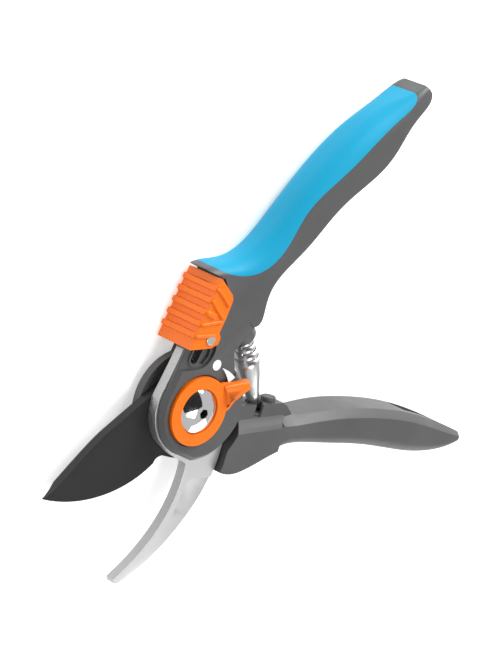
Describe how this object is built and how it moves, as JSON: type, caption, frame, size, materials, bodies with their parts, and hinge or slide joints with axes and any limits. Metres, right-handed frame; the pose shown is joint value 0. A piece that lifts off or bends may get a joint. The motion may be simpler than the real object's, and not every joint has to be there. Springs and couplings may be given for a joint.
{
  "type": "pruning shears",
  "caption": "Bypass pruning shears, open, with a domed pivot bolt and opening dial, a thumb lock slider, a volute return spring and a soft outer grip.",
  "frame": {"origin": "on the pivot axis, in the plane that the shears lie on, at the end of the pivot bolt", "axes": "+Z along the pivot from the nut to the dial, +X outwards between the open jaws, handles towards -X"},
  "size_m": [0.1951, 0.1536, 0.0203],
  "materials": {
    "nylon_grey": "glass filled nylon, fine matt texture, mid grey",
    "grip_blue": "satin soft-touch elastomer, bright blue",
    "hook_steel": "satin ground steel with a bead blasted edge",
    "rivet_steel": "turned steel",
    "bolt_chrome": "polished chrome",
    "nut_steel": "zinc plated steel",
    "dial_orange": "satin orange nylon",
    "slider_orange": "satin orange nylon",
    "latch_black": "black moulded latch",
    "blade_black": "black non-stick coated steel",
    "bumper_rubber": "matt black rubber",
    "spring_steel": "polished spring strip"
  },
  "bodies": {
    "upper_lever": {"upper_handle": "nylon_grey", "upper_grip": "grip_blue", "counter_blade": "hook_steel", "tang_rivets": "rivet_steel", "pivot_bolt": "bolt_chrome", "pivot_nut": "nut_steel", "lock_washer": "nut_steel", "thrust_washer": "nut_steel", "volute_spring": "spring_steel"},
    "lower_lever": {"lower_handle": "nylon_grey", "cutting_blade": "blade_black", "pivot_bushing": "rivet_steel", "blade_rivets": "rivet_steel", "bumper": "bumper_rubber"},
    "dial": {"limit_dial": "dial_orange"},
    "lock": {"lock_slider": "slider_orange", "lock_tongue": "latch_black", "lock_rivet": "rivet_steel"}
  },
  "joints": [
    {"name": "jaw_pivot", "type": "hinge", "parent": "upper_lever", "child": "lower_lever", "pos_m": [0, 0, 0], "axis": [0, 0, 1], "range_deg": [0, 45], "stiffness_Nm_per_rad": 0.6, "springref_deg": -11.46, "deforming": ["volute_spring"]},
    {"name": "dial_turn", "type": "hinge", "parent": "upper_lever", "child": "dial", "pos_m": [0, 0, 0.0167], "axis": [0, 0, 1], "range_deg": [0, 45]},
    {"name": "lock_slide", "type": "slide", "parent": "upper_lever", "child": "lock", "axis": [0.6428, 0.766, 0], "range_m": [0, 0.0065]}
  ]
}
